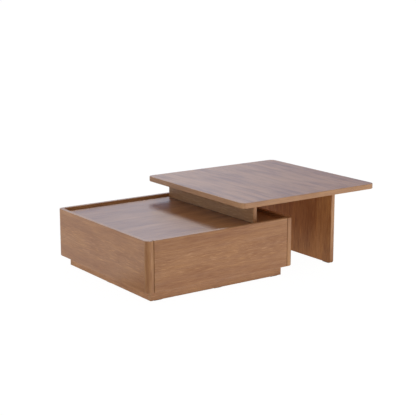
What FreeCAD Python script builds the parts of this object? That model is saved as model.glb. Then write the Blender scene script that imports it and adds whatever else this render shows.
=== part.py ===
import FreeCAD, Part
import os

# A low square table in two parts. A box on a set-back plinth holds a tray in its top, a drawer at the
# front and a drawer at the back. A bridge, one square top on a short panel and a tall leg panel, slides
# along +X over it: the short panel runs in the tray and the leg runs on the floor beside the box.
# Millimetres. The front is -Y, the floor is z = 0, and the origin is under the middle of the open table.

# Driving dimensions: the whole table
SIDE = 800.0                # the box and the top are squares of this side
OPEN_LENGTH = 1308.0        # box and top together, as the table stands open
HEIGHT = 380.0              # floor to the upper face of the top
BODY_TOP = 280.0            # floor to the rim of the box
PLINTH_HEIGHT = 50.0
PLINTH_SETBACK = 40.0
TRAY_DROP = 14.0            # the tray lies this far below the rim
TOP_THICKNESS = 25.0
LEG_INSET = 212.0           # right edge of the top to the outer face of the leg
SUPPORT_INSET = 96.0        # left edge of the top to the outer face of the short panel
PANEL_WIDTH = 700.0         # leg and short panel, across the table

# Boards
BOARD = 20.0                # end panels, drawer fronts, leg and short panel
CARCASE = 18.0              # tray, divider, rails and plinth
BOTTOM = 16.0
RAIL_WIDTH = 40.0           # flat rails under the tray
DRAWER_BOARD = 12.0
DRAWER_FLOOR = 6.0
LIPPING = 3.0               # solid strip round the edge of the top
ARRIS = 1.5                 # eased edges

# Corner posts of the box
POST_WIDTH = 34.0
POST_DEPTH = 26.0
POST_RADIUS = 25.0
TOP_RADIUS = 28.0           # corners of the top in plan
FOOT_RADIUS = 12.0          # lower corners of the leg

# Drawers and their runners
FRONT_GAP = 2.5             # round each drawer front, at the posts
TRAY_GAP = 1.5              # between a drawer front and the tray behind it
FINGER_BEVEL = 8.0          # lower back edge of a drawer front
DRAWER_LOW = 76.0
DRAWER_HIGH = 222.0
DRAWER_DEPTH = 345.0        # drawer box, behind its front
GROOVE_HEIGHT = 10.0        # from the lower edge of a side to its floor groove
GROOVE_DEPTH = 6.0
FINGERS = 7                 # finger joints at each drawer corner
RUNNER_LENGTH = 350.0
RUNNER_SETBACK = 24.0       # from the face of the box
RUNNER_THICKNESS = 12.7
GAUGE = 1.2                 # rolled steel
BEND = 1.8                  # outside radius of a rolled bend
RUNNER_PLAY = 2.0           # between the webs of the outer and middle members
OUTER_HALF = 22.5           # half heights of the three members
MIDDLE_HALF = 17.7
INNER_HALF = 13.5
OUTER_MOUTH = 19.0          # half height of the slot in the outer member
MIDDLE_DEPTH = 6.8          # flange widths
INNER_DEPTH = 6.0
OUTER_DEPTH = 9.5

# Joints and feet
TENON_THICKNESS = 8.0       # loose tenons, glued half in each board
TENON_WIDTH = 50.0
TENON_LENGTH = 28.0
TENON_SHORT = 12.0          # share of a tenon that sits in an end panel or in the top
JOINT_SPACING = 250.0
SCREW_RADIUS = 2.0
HEAD_RADIUS = 4.0
HEAD_HEIGHT = 2.2
SCREW_LENGTH = 27.0
FRONT_SCREW_SPREAD = 80.0   # height between the screws of a drawer front
CLEARANCE = 0.15            # round a screw in its hole
BATTEN = 20.0
BATTEN_LENGTH = 560.0
BATTEN_BEVEL = 3.0
FELT = 2.0
PLINTH_GLIDE = 2.0
LEG_GLIDE = 3.0
GLIDE_LENGTH = 40.0
GLIDE_WIDTH = 14.0
GLIDE_SPREAD = 320.0        # middle of the plinth to its outer glides
LEG_GLIDE_SPREAD = 310.0    # middle of the leg to its outer glides
BLOCK_SIDE = 45.0           # triangular corner blocks of the plinth
BLOCK_HEIGHT = 37.5
CROSS_RAIL_HEIGHT = 25.0

# Planes that follow from them
BOX_LEFT = -OPEN_LENGTH / 2
BOX_RIGHT = BOX_LEFT + SIDE
BOX_MIDDLE = BOX_LEFT + SIDE / 2
BOX_FRONT = -SIDE / 2
BOX_BACK = SIDE / 2
TOP_RIGHT = OPEN_LENGTH / 2
TOP_LEFT = TOP_RIGHT - SIDE
TOP_UNDERSIDE = HEIGHT - TOP_THICKNESS
TRAY_TOP = BODY_TOP - TRAY_DROP
TRAY_UNDERSIDE = TRAY_TOP - CARCASE
BOTTOM_TOP = PLINTH_HEIGHT + BOTTOM
LEG_LEFT = TOP_RIGHT - LEG_INSET - BOARD
SUPPORT_LEFT = TOP_LEFT + SUPPORT_INSET
SIDE_X = BOX_LEFT + POST_WIDTH + RUNNER_THICKNESS   # outer face of a left drawer side
DRAWER_Y = BOX_FRONT + BOARD                        # back face of the front drawer front
RUNNER_Z = (DRAWER_LOW + DRAWER_HIGH) / 2
SAME = 1e-6

X = FreeCAD.Vector(1, 0, 0)
Y = FreeCAD.Vector(0, 1, 0)
Z = FreeCAD.Vector(0, 0, 1)


def block(x0, x1, y0, y1, z0, z1):
    """A square-edged board between two corners."""
    return Part.makeBox(x1 - x0, y1 - y0, z1 - z0, FreeCAD.Vector(x0, y0, z0))


def edges_at(shape, x=None, y=None, z=None):
    """The edges that lie wholly at the coordinates given."""
    found = []
    for edge in shape.Edges:
        box = edge.BoundBox
        spans = ((x, box.XMin, box.XMax), (y, box.YMin, box.YMax), (z, box.ZMin, box.ZMax))
        if all(at is None or (abs(low - at) < SAME and abs(high - at) < SAME) for at, low, high in spans):
            found.append(edge)
    return found


def upright_edges(shape):
    """The straight edges that run along Z."""
    return [edge for edge in shape.Edges if edge.BoundBox.XLength < SAME and edge.BoundBox.YLength < SAME]


def at_right(shape):
    """The same piece at the other end of the box."""
    return shape.mirror(FreeCAD.Vector(BOX_MIDDLE, 0, 0), X)


def at_back(shape):
    """The same piece at the back of the box."""
    return shape.mirror(FreeCAD.Vector(0, 0, 0), Y)


def save(node, *solids):
    """Write one sub-part; more than one solid is a group of like pieces."""
    shape = solids[0]
    if len(solids) > 1:
        shape = Part.makeCompound(list(solids))
    shape.exportStep("parts/" + node + ".step")


def around(middle, size):
    """The two ends of a span of this size about its middle."""
    return middle - size / 2, middle + size / 2


def wood_screw(origin, direction, loose=0.0):
    """A countersunk screw whose head is flush at origin; loose widens it to the hole it needs."""
    head = HEAD_RADIUS + loose
    shank = SCREW_RADIUS + loose
    outline = [(0, 0), (head, 0), (shank, HEAD_HEIGHT), (shank, SCREW_LENGTH), (0, SCREW_LENGTH), (0, 0)]
    corners = [FreeCAD.Vector(radius, 0, distance) for radius, distance in outline]
    solid = Part.Face(Part.makePolygon(corners)).revolve(FreeCAD.Vector(0, 0, 0), Z, 360)
    solid.Placement = FreeCAD.Placement(origin, FreeCAD.Rotation(Z, direction))
    return solid


def both_ends(solids):
    """A list of pieces at the left end of the box, with their twins at the right end."""
    return solids + [at_right(solid) for solid in solids]


# ---------------------------------------------------------------- box body

def end_tenons():
    """Loose tenons from the left end panel into the tray and the bottom."""
    left = BOX_LEFT + BOARD - TENON_SHORT
    found = []
    for z in (TRAY_UNDERSIDE + CARCASE / 2, PLINTH_HEIGHT + BOTTOM / 2):
        low, high = around(z, TENON_THICKNESS)
        for step in (-1, 0, 1):
            front, back = around(step * JOINT_SPACING, TENON_WIDTH)
            found.append(block(left, left + TENON_LENGTH, front, back, low, high))
    return found


def end_panel():
    """The left end board, eased along the rim and the foot."""
    front = BOX_FRONT + POST_DEPTH
    inner = BOX_LEFT + BOARD
    board = block(BOX_LEFT, inner, front, -front, PLINTH_HEIGHT, BODY_TOP)
    rim = edges_at(board, x=BOX_LEFT, z=BODY_TOP) + edges_at(board, x=inner, z=BODY_TOP)
    foot = edges_at(board, x=BOX_LEFT, z=PLINTH_HEIGHT)
    return board.makeChamfer(ARRIS, rim + foot).cut(end_tenons())


def corner_post():
    """The front left post: its outer corner is a quarter round from foot to rim."""
    left = BOX_LEFT
    right = BOX_LEFT + POST_WIDTH
    front = BOX_FRONT
    back = BOX_FRONT + POST_DEPTH
    turn = FreeCAD.Vector(left + POST_RADIUS, front + POST_RADIUS, PLINTH_HEIGHT)
    arc_middle = turn - FreeCAD.Vector(1, 1, 0).normalize() * POST_RADIUS
    arc_start = FreeCAD.Vector(left, turn.y, PLINTH_HEIGHT)
    arc_end = FreeCAD.Vector(turn.x, front, PLINTH_HEIGHT)
    corners = [
        arc_end,
        FreeCAD.Vector(right, front, PLINTH_HEIGHT),
        FreeCAD.Vector(right, back, PLINTH_HEIGHT),
        FreeCAD.Vector(left, back, PLINTH_HEIGHT),
        arc_start,
    ]
    round_edge = Part.Arc(arc_start, arc_middle, arc_end).toShape()
    outline = Part.Wire([round_edge] + Part.makePolygon(corners).Edges)
    post = Part.Face(outline).extrude(Z * (BODY_TOP - PLINTH_HEIGHT))
    gap_edge = edges_at(post, x=right, y=front)
    rim = [edge for edge in edges_at(post, z=BODY_TOP) if edge.BoundBox.YMin < back - SAME]
    foot = [edge for edge in edges_at(post, z=PLINTH_HEIGHT) if edge.BoundBox.YMin < turn.y - SAME]
    foot = [edge for edge in foot if edge.BoundBox.XMin < right - SAME]
    return post.makeChamfer(ARRIS, gap_edge + rim + foot)


def tray_panel():
    """The sunken board in the top of the box, notched round the four posts."""
    front = BOX_FRONT + BOARD + TRAY_GAP
    board = block(BOX_LEFT + BOARD, BOX_RIGHT - BOARD, front, -front, TRAY_UNDERSIDE, TRAY_TOP)
    right = BOX_LEFT + POST_WIDTH
    back = BOX_FRONT + POST_DEPTH
    notch = block(BOX_LEFT, right, BOX_FRONT, back, TRAY_UNDERSIDE, TRAY_TOP)
    notches = both_ends([notch, at_back(notch)])
    return board.cut(notches + both_ends(end_tenons()))


def bottom_panel():
    """The floor of the box; it stops at the plinth to leave a finger space behind each front."""
    edge = BOX_FRONT + PLINTH_SETBACK
    board = block(BOX_LEFT + BOARD, BOX_RIGHT - BOARD, edge, -edge, PLINTH_HEIGHT, BOTTOM_TOP)
    return board.cut(both_ends(end_tenons()))


def centre_divider():
    """The upright board between the two drawers; it carries the middle of the tray."""
    return block(BOX_LEFT + BOARD, BOX_RIGHT - BOARD, -CARCASE / 2, CARCASE / 2, BOTTOM_TOP, TRAY_UNDERSIDE)


def top_rail():
    """The flat rail under the front edge of the tray, behind the posts."""
    front = BOX_FRONT + POST_DEPTH
    low = TRAY_UNDERSIDE - CARCASE
    return block(BOX_LEFT + BOARD, BOX_RIGHT - BOARD, front, front + RAIL_WIDTH, low, TRAY_UNDERSIDE)


# ---------------------------------------------------------------- plinth

def plinth_front():
    """The front rail of the plinth, between its two outer corners."""
    front = BOX_FRONT + PLINTH_SETBACK
    left = BOX_LEFT + PLINTH_SETBACK
    return block(left, BOX_RIGHT - PLINTH_SETBACK, front, front + CARCASE, PLINTH_GLIDE, PLINTH_HEIGHT)


def plinth_side():
    """The left rail, between the front rail and the back rail."""
    left = BOX_LEFT + PLINTH_SETBACK
    front = BOX_FRONT + PLINTH_SETBACK + CARCASE
    return block(left, left + CARCASE, front, -front, PLINTH_GLIDE, PLINTH_HEIGHT)


def plinth_cross_rail():
    """The rail under the middle of the bottom; it hangs clear of the floor."""
    front = BOX_FRONT + PLINTH_SETBACK + CARCASE
    left, right = around(BOX_MIDDLE, CARCASE)
    return block(left, right, front, -front, PLINTH_HEIGHT - CROSS_RAIL_HEIGHT, PLINTH_HEIGHT)


def plinth_corner_block():
    """The triangular block glued into the front left corner of the plinth."""
    inset = PLINTH_SETBACK + CARCASE
    corner = FreeCAD.Vector(BOX_LEFT + inset, BOX_FRONT + inset, PLINTH_HEIGHT - BLOCK_HEIGHT)
    outline = Part.makePolygon([corner, corner + X * BLOCK_SIDE, corner + Y * BLOCK_SIDE, corner])
    return Part.Face(outline).extrude(Z * BLOCK_HEIGHT)


def glide(x, y, along_x, along_y, height):
    """A flat glide under a board, centred at x, y."""
    left, right = around(x, along_x)
    front, back = around(y, along_y)
    return block(left, right, front, back, 0, height)


def plinth_glides():
    """Glides under the plinth: three under the front and back rails, one under each side."""
    line = PLINTH_SETBACK + CARCASE / 2
    glides = []
    for y in (BOX_FRONT + line, BOX_BACK - line):
        for step in (-1, 0, 1):
            x = BOX_MIDDLE + step * GLIDE_SPREAD
            glides.append(glide(x, y, GLIDE_LENGTH, GLIDE_WIDTH, PLINTH_GLIDE))
    for x in (BOX_LEFT + line, BOX_RIGHT - line):
        glides.append(glide(x, 0, GLIDE_WIDTH, GLIDE_LENGTH, PLINTH_GLIDE))
    return glides


# ---------------------------------------------------------------- drawer runners

def rolled(x_web, x_rim, half, mouth):
    """A rolled steel section along Y: a web at x_web and two flanges that reach to x_rim.

    half is its half height, and mouth is the half height of the slot along its open side.
    The small bends are drawn as flats.
    """
    low, high = sorted((x_web, x_rim))
    front = BOX_FRONT + RUNNER_SETBACK
    back = front + RUNNER_LENGTH
    bar = block(low, high, front, back, RUNNER_Z - half, RUNNER_Z + half)
    bends = edges_at(bar, x=x_web, z=RUNNER_Z - half) + edges_at(bar, x=x_web, z=RUNNER_Z + half)
    bar = bar.makeChamfer(BEND, bends)
    hollow_half = half - GAUGE
    hollow = block(low + GAUGE, high - GAUGE, front, back, RUNNER_Z - hollow_half, RUNNER_Z + hollow_half)
    into = GAUGE if x_rim < x_web else -GAUGE
    slot_low, slot_high = sorted((x_rim, x_rim + into))
    slot = block(slot_low, slot_high, front, back, RUNNER_Z - mouth, RUNNER_Z + mouth)
    return bar.cut([hollow, slot])


def outer_runner():
    """The member fixed to the box."""
    web = BOX_LEFT + POST_WIDTH
    return rolled(web, web + OUTER_DEPTH, OUTER_HALF, OUTER_MOUTH)


def middle_runner():
    """The member that travels between the other two."""
    web = BOX_LEFT + POST_WIDTH + GAUGE + RUNNER_PLAY
    return rolled(web, web + MIDDLE_DEPTH, MIDDLE_HALF, MIDDLE_HALF - GAUGE)


def inner_runner():
    """The member fixed to the drawer; it opens towards the box."""
    return rolled(SIDE_X, SIDE_X - INNER_DEPTH, INNER_HALF, INNER_HALF - GAUGE)


def runner_packer():
    """The strip that brings the outer member out to the line of the post."""
    left = BOX_LEFT + BOARD
    front = BOX_FRONT + POST_DEPTH
    low, high = around(RUNNER_Z, 2 * (OUTER_HALF + GAUGE))
    return block(left, BOX_LEFT + POST_WIDTH, front, front + RUNNER_LENGTH, low, high)


# ---------------------------------------------------------------- drawers

def front_screws(loose=0.0):
    """Four screws from inside the drawer into its front."""
    found = []
    for z in around(RUNNER_Z, FRONT_SCREW_SPREAD):
        for x in around(BOX_MIDDLE, 2 * JOINT_SPACING):
            head = FreeCAD.Vector(x, DRAWER_Y + DRAWER_BOARD, z)
            found.append(wood_screw(head, -Y, loose))
    return found


def drawer_front():
    """The wide front: eased all round its face, and bevelled below and behind for the fingers."""
    left = BOX_LEFT + POST_WIDTH + FRONT_GAP
    right = BOX_RIGHT - POST_WIDTH - FRONT_GAP
    board = block(left, right, BOX_FRONT, DRAWER_Y, PLINTH_HEIGHT, BODY_TOP)
    board = board.makeChamfer(FINGER_BEVEL, edges_at(board, y=DRAWER_Y, z=PLINTH_HEIGHT))
    eased = edges_at(board, y=BOX_FRONT) + edges_at(board, y=DRAWER_Y, z=BODY_TOP)
    return board.makeChamfer(ARRIS, eased).cut(front_screws(CLEARANCE))


def fingers(y0, z0, odd):
    """Every other cell of a finger joint at the left, where two drawer boards cross at y0."""
    pitch = (DRAWER_HIGH - z0) / FINGERS
    cells = []
    for index in range(odd, FINGERS, 2):
        low = z0 + index * pitch
        cells.append(block(SIDE_X, SIDE_X + DRAWER_BOARD, y0, y0 + DRAWER_BOARD, low, low + pitch))
    return cells


def floor_groove():
    """The space of the drawer floor, let into the sides and the inner front."""
    left = SIDE_X + DRAWER_BOARD - GROOVE_DEPTH
    right = 2 * BOX_MIDDLE - left
    front = DRAWER_Y + DRAWER_BOARD - GROOVE_DEPTH
    low = DRAWER_LOW + GROOVE_HEIGHT
    return block(left, right, front, DRAWER_Y + DRAWER_DEPTH, low, low + DRAWER_FLOOR)


def drawer_side():
    """The left side of the front drawer: finger jointed at both ends and grooved for the floor."""
    side = block(SIDE_X, SIDE_X + DRAWER_BOARD, DRAWER_Y, DRAWER_Y + DRAWER_DEPTH, DRAWER_LOW, DRAWER_HIGH)
    back_low = DRAWER_LOW + GROOVE_HEIGHT + DRAWER_FLOOR
    cuts = fingers(DRAWER_Y, DRAWER_LOW, 1)
    cuts += fingers(DRAWER_Y + DRAWER_DEPTH - DRAWER_BOARD, back_low, 1)
    return side.cut(cuts + [floor_groove()])


def drawer_inner_front():
    """The front board of the drawer box, which the wide front is screwed to."""
    right = 2 * BOX_MIDDLE - SIDE_X
    board = block(SIDE_X, right, DRAWER_Y, DRAWER_Y + DRAWER_BOARD, DRAWER_LOW, DRAWER_HIGH)
    cuts = both_ends(fingers(DRAWER_Y, DRAWER_LOW, 0))
    return board.cut(cuts + [floor_groove()] + front_screws(CLEARANCE))


def drawer_back():
    """The back board of the drawer box; it stands on the floor panel."""
    right = 2 * BOX_MIDDLE - SIDE_X
    front = DRAWER_Y + DRAWER_DEPTH - DRAWER_BOARD
    low = DRAWER_LOW + GROOVE_HEIGHT + DRAWER_FLOOR
    board = block(SIDE_X, right, front, DRAWER_Y + DRAWER_DEPTH, low, DRAWER_HIGH)
    return board.cut(both_ends(fingers(front, low, 0)))


def save_drawer(name, placed):
    """Write one drawer with its inner and middle runner members; placed puts it at its own end."""
    save(name + "_drawer_front", placed(drawer_front()))
    save(name + "_drawer_inner_front", placed(drawer_inner_front()))
    save(name + "_drawer_back", placed(drawer_back()))
    save(name + "_drawer_bottom", placed(floor_groove()))
    save(name + "_drawer_left_side", placed(drawer_side()))
    save(name + "_drawer_right_side", placed(at_right(drawer_side())))
    save(name + "_left_inner_runner", placed(inner_runner()))
    save(name + "_right_inner_runner", placed(at_right(inner_runner())))
    save(name + "_left_middle_runner", placed(middle_runner()))
    save(name + "_right_middle_runner", placed(at_right(middle_runner())))
    save(name + "_drawer_screws", *[placed(screw) for screw in front_screws()])


def as_it_is(shape):
    """The front drawer stays where it is drawn."""
    return shape


# ---------------------------------------------------------------- sliding top

def rounded_slab(inset):
    """The top board or its space, with round corners, drawn in by inset all round."""
    left = TOP_LEFT + inset
    right = TOP_RIGHT - inset
    front = BOX_FRONT + inset
    slab = block(left, right, front, -front, TOP_UNDERSIDE, HEIGHT)
    return slab.makeFillet(TOP_RADIUS - inset, upright_edges(slab))


def top_tenons():
    """Loose tenons that join the short panel and the leg to the top."""
    low = TOP_UNDERSIDE + TENON_SHORT - TENON_LENGTH
    found = []
    for x in (SUPPORT_LEFT + BOARD / 2, LEG_LEFT + BOARD / 2):
        left, right = around(x, TENON_THICKNESS)
        for step in (-1, 0, 1):
            front, back = around(step * JOINT_SPACING, TENON_WIDTH)
            found.append(block(left, right, front, back, low, low + TENON_LENGTH))
    return found


def batten(face, way):
    """The square strip glued in the corner between a panel and the top."""
    left, right = sorted((face, face + way * BATTEN))
    front, back = around(0, BATTEN_LENGTH)
    strip = block(left, right, front, back, TOP_UNDERSIDE - BATTEN, TOP_UNDERSIDE)
    free_edge = edges_at(strip, x=face + way * BATTEN, z=TOP_UNDERSIDE - BATTEN)
    return strip.makeChamfer(BATTEN_BEVEL, free_edge)


def top_panel():
    """The veneered board inside the lipping."""
    return rounded_slab(LIPPING).cut(top_tenons())


def top_lipping():
    """The solid strip glued round the top, eased above and below."""
    ring = rounded_slab(0)
    ring = ring.makeChamfer(ARRIS, edges_at(ring, z=HEIGHT) + edges_at(ring, z=TOP_UNDERSIDE))
    return ring.cut(rounded_slab(LIPPING))


def support_panel():
    """The short panel that stands in the tray."""
    half = PANEL_WIDTH / 2
    board = block(SUPPORT_LEFT, SUPPORT_LEFT + BOARD, -half, half, TRAY_TOP + FELT, TOP_UNDERSIDE)
    return board.makeChamfer(ARRIS, upright_edges(board)).cut(top_tenons())


def leg_panel():
    """The tall panel that stands on the floor, with round lower corners."""
    half = PANEL_WIDTH / 2
    board = block(LEG_LEFT, LEG_LEFT + BOARD, -half, half, LEG_GLIDE, TOP_UNDERSIDE)
    lower = edges_at(board, y=-half, z=LEG_GLIDE) + edges_at(board, y=half, z=LEG_GLIDE)
    board = board.makeFillet(FOOT_RADIUS, lower)
    faces = edges_at(board, x=LEG_LEFT) + edges_at(board, x=LEG_LEFT + BOARD)
    eased = [edge for edge in faces if edge.BoundBox.ZMin < TOP_UNDERSIDE - SAME]
    return board.makeChamfer(ARRIS, eased).cut(top_tenons())


def support_felt():
    """The felt strip that the short panel slides on."""
    half = PANEL_WIDTH / 2 - ARRIS
    left = SUPPORT_LEFT + ARRIS
    right = SUPPORT_LEFT + BOARD - ARRIS
    return block(left, right, -half, half, TRAY_TOP, TRAY_TOP + FELT)


def leg_glides():
    """Three flat glides under the leg."""
    x = LEG_LEFT + BOARD / 2
    return [glide(x, step * LEG_GLIDE_SPREAD, GLIDE_WIDTH, GLIDE_LENGTH, LEG_GLIDE) for step in (-1, 0, 1)]


# ---------------------------------------------------------------- write the sub-parts

os.makedirs("parts", exist_ok=True)

save("left_end_panel", end_panel())
save("right_end_panel", at_right(end_panel()))
save("front_left_post", corner_post())
save("front_right_post", at_right(corner_post()))
save("back_left_post", at_back(corner_post()))
save("back_right_post", at_back(at_right(corner_post())))
save("tray_panel", tray_panel())
save("bottom_panel", bottom_panel())
save("centre_divider", centre_divider())
save("top_front_rail", top_rail())
save("top_back_rail", at_back(top_rail()))
save("carcase_tenons", *both_ends(end_tenons()))

save("plinth_front", plinth_front())
save("plinth_back", at_back(plinth_front()))
save("plinth_left", plinth_side())
save("plinth_right", at_right(plinth_side()))
save("plinth_cross_rail", plinth_cross_rail())
corner_blocks = both_ends([plinth_corner_block(), at_back(plinth_corner_block())])
save("plinth_corner_blocks", *corner_blocks)
save("plinth_glides", *plinth_glides())

save("front_left_outer_runner", outer_runner())
save("front_right_outer_runner", at_right(outer_runner()))
save("back_left_outer_runner", at_back(outer_runner()))
save("back_right_outer_runner", at_back(at_right(outer_runner())))
packers = both_ends([runner_packer(), at_back(runner_packer())])
save("runner_packers", *packers)

save_drawer("front", as_it_is)
save_drawer("back", at_back)

save("top_panel", top_panel())
save("top_lipping", top_lipping())
save("support_panel", support_panel())
save("leg_panel", leg_panel())
save("support_batten", batten(SUPPORT_LEFT + BOARD, 1))
save("leg_batten", batten(LEG_LEFT, -1))
save("top_tenons", *top_tenons())
save("support_felt", support_felt())
save("leg_glides", *leg_glides())
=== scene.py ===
import math

import bpy
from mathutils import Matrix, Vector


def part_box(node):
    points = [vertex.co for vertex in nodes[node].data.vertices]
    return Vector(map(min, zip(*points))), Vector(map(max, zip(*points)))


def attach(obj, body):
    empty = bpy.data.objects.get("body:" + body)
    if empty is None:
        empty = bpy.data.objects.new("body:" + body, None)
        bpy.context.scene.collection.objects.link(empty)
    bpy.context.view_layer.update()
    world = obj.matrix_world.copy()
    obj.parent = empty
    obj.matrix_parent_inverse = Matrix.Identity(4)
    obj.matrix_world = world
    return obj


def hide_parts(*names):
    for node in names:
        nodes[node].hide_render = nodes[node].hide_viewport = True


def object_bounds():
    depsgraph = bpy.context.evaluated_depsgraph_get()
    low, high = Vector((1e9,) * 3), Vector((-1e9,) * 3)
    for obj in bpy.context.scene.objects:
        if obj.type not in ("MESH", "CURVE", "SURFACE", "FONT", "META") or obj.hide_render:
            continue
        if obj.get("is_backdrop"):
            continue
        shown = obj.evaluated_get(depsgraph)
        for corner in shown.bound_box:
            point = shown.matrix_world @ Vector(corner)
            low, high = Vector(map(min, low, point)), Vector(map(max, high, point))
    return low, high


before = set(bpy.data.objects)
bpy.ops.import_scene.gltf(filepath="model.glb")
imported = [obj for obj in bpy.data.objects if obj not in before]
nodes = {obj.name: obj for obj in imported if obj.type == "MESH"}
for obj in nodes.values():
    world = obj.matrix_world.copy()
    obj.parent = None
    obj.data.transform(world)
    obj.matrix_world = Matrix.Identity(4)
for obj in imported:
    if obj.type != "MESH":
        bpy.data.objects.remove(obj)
cad_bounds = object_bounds()
scene = bpy.context.scene


# ------------------------------------------------------------ plinth rails
# Four rails of walnut veneered board make the set-back plinth that carries the box. They are glued
# edge to face at the corners, and their grain runs along each rail.

class Value:
    """One socket of a node tree. Arithmetic on it adds the Math nodes that it stands for."""

    def __init__(self, tree, socket):
        self.tree = tree
        self.socket = socket

    def __getitem__(self, output):
        return Value(self.tree, self.socket.node.outputs[output])

    def maths(self, operation, *terms):
        """What the Math node of this operation gives for these terms."""
        return self.tree.node("ShaderNodeMath", {"operation": operation}, dict(enumerate(terms)))

    def __add__(self, other):
        return self.maths("ADD", self, other)

    def __radd__(self, other):
        return self.maths("ADD", other, self)

    def __sub__(self, other):
        return self.maths("SUBTRACT", self, other)

    def __rsub__(self, other):
        return self.maths("SUBTRACT", other, self)

    def __mul__(self, other):
        return self.maths("MULTIPLY", self, other)

    def __rmul__(self, other):
        return self.maths("MULTIPLY", other, self)

    def __truediv__(self, other):
        return self.maths("DIVIDE", self, other)

    def __rtruediv__(self, other):
        return self.maths("DIVIDE", other, self)

    def __pow__(self, other):
        return self.maths("POWER", self, other)

    def __rpow__(self, other):
        return self.maths("POWER", other, self)

    def __abs__(self):
        return self.maths("ABSOLUTE", self)

    def over(self, other):
        """1 where this is more than other, and 0 elsewhere."""
        return self.maths("GREATER_THAN", self, other)

    def fraction(self):
        """What this is past a whole number."""
        return self.maths("FRACT", self)

    def rise(self, low, high):
        """0 below low, 1 above high and a smooth rise between them."""
        settings = {"interpolation_type": "SMOOTHSTEP"}
        limits = {"Value": self, "From Min": low, "From Max": high, "To Min": 0.0, "To Max": 1.0}
        return self.tree.node("ShaderNodeMapRange", settings, limits)


class Tree:
    """A node tree, with one method that adds a node to it."""

    def __init__(self, tree):
        self.tree = tree
        tree.nodes.clear()

    def node(self, kind, settings=None, inputs=None):
        """Add a node, make its settings, and then give its sockets their values or links."""
        made = self.tree.nodes.new(kind)
        for name, setting in (settings or {}).items():
            setattr(made, name, setting)
        for name, value in (inputs or {}).items():
            for one in value if isinstance(value, list) else [value]:
                if isinstance(one, Value):
                    self.tree.links.new(one.socket, made.inputs[name])
                else:
                    made.inputs[name].default_value = one
        return Value(self, made.outputs[0]) if made.outputs else None


COLOUR_FACTOR, COLOUR_A, COLOUR_B, COLOUR_OUT = 0, 6, 7, 2      # sockets of a Mix node of colours
VECTOR_FACTOR, VECTOR_A, VECTOR_B, VECTOR_OUT = 0, 4, 5, 1      # and of one of vectors
HALFWAY = 0.5               # between two colours, or through a layer


def colour_mix(tree, factor, first, second, blend="MIX"):
    """first where factor is 0 and second where it is 1."""
    settings = {"data_type": "RGBA", "blend_type": blend, "clamp_factor": True}
    sockets = {COLOUR_FACTOR: factor, COLOUR_A: first, COLOUR_B: second}
    return tree.node("ShaderNodeMix", settings, sockets)[COLOUR_OUT]


def tinted(tree, colour, tint):
    return colour_mix(tree, 1.0, colour, tint, "MULTIPLY")


def place_mix(tree, factor, first, second):
    """The same as colour_mix for two places."""
    sockets = {VECTOR_FACTOR: factor, VECTOR_A: first, VECTOR_B: second}
    return tree.node("ShaderNodeMix", {"data_type": "VECTOR"}, sockets)[VECTOR_OUT]


def vector_maths(tree, operation, first, second):
    return tree.node("ShaderNodeVectorMath", {"operation": operation}, {0: first, 1: second})


def vector(tree, x, y, z):
    return tree.node("ShaderNodeCombineXYZ", {}, {0: x, 1: y, 2: z})


def axes_of(tree, place):
    """The X, Y and Z of a vector, each a value."""
    return tree.node("ShaderNodeSeparateXYZ", {}, {0: place})


def object_place(tree):
    """Where a point of the piece is."""
    return tree.node("ShaderNodeTexCoord")["Object"]


def facing_axes(tree):
    """Which way the surface faces there, as three values."""
    return axes_of(tree, tree.node("ShaderNodeTexCoord")["Normal"])


NOISE_MIDDLE = 0.5          # a noise texture wanders about this value


def spots(tree, place, length, width, detail=2.0):
    """Noise about 0, whose spots are about this long along X and this wide across it, in metres."""
    stretched = vector_maths(tree, "MULTIPLY", place, (1 / length, 1 / width, 1 / width))
    sockets = {"Vector": stretched, "Scale": 1.0, "Detail": detail}
    return tree.node("ShaderNodeTexNoise", {}, sockets) - NOISE_MIDDLE


def new_finish(name):
    """A material and its empty node tree."""
    material = bpy.data.materials.new(name)
    material.use_nodes = True
    return material, Tree(material.node_tree)


def surface(tree, sockets):
    """The shader of a finish, joined to its output."""
    shader = tree.node("ShaderNodeBsdfPrincipled", {}, sockets)
    tree.node("ShaderNodeOutputMaterial", {}, {"Surface": shader})


def relief(tree, height, depth, strength):
    """The normal of a surface that rises and falls by this depth, in metres."""
    sockets = {"Height": height, "Strength": strength, "Distance": depth}
    return tree.node("ShaderNodeBump", {}, sockets)


def from_pith(side, depth):
    """How far a point of the board is from the middle of the log."""
    return (side * side + depth * depth) ** 0.5


FACES_SOFTLY = 0.75, 0.80   # a surface faces an axis as its normal rises between these along it


def board_place(tree, grain, across, through, shift, banded):
    """Object coordinates turned so that X runs along the grain and Y across the face of the board.

    On the edges that cut the grain, a banded board has a strip whose grain follows the edge.
    The second value is 1 on all edges of the board.
    """
    place = axes_of(tree, object_place(tree))
    facing = facing_axes(tree)
    turned = vector(tree, place[grain], place[across], place[through])
    if banded:
        strip = vector(tree, place[across], place[through], place[grain])
        turned = place_mix(tree, abs(facing[grain]).rise(*FACES_SOFTLY), turned, strip)
    edge = 1.0 - abs(facing[through]).rise(*FACES_SOFTLY)
    return vector_maths(tree, "ADD", turned, shift), edge


WALNUT_DARK = (0.228, 0.070, 0.016, 1.0)
WALNUT_LIGHT = (0.538, 0.275, 0.116, 1.0)
WALNUT_PORE = (0.095, 0.036, 0.014, 1.0)
WALNUT_GOLD = (1.04, 1.01, 0.88, 1.0)           # its hue wanders between these two tints
WALNUT_ROSE = (0.97, 0.98, 1.12, 1.0)
MIDDLE_TONE = 0.48                              # where plain wood lies between dark and light

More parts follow.
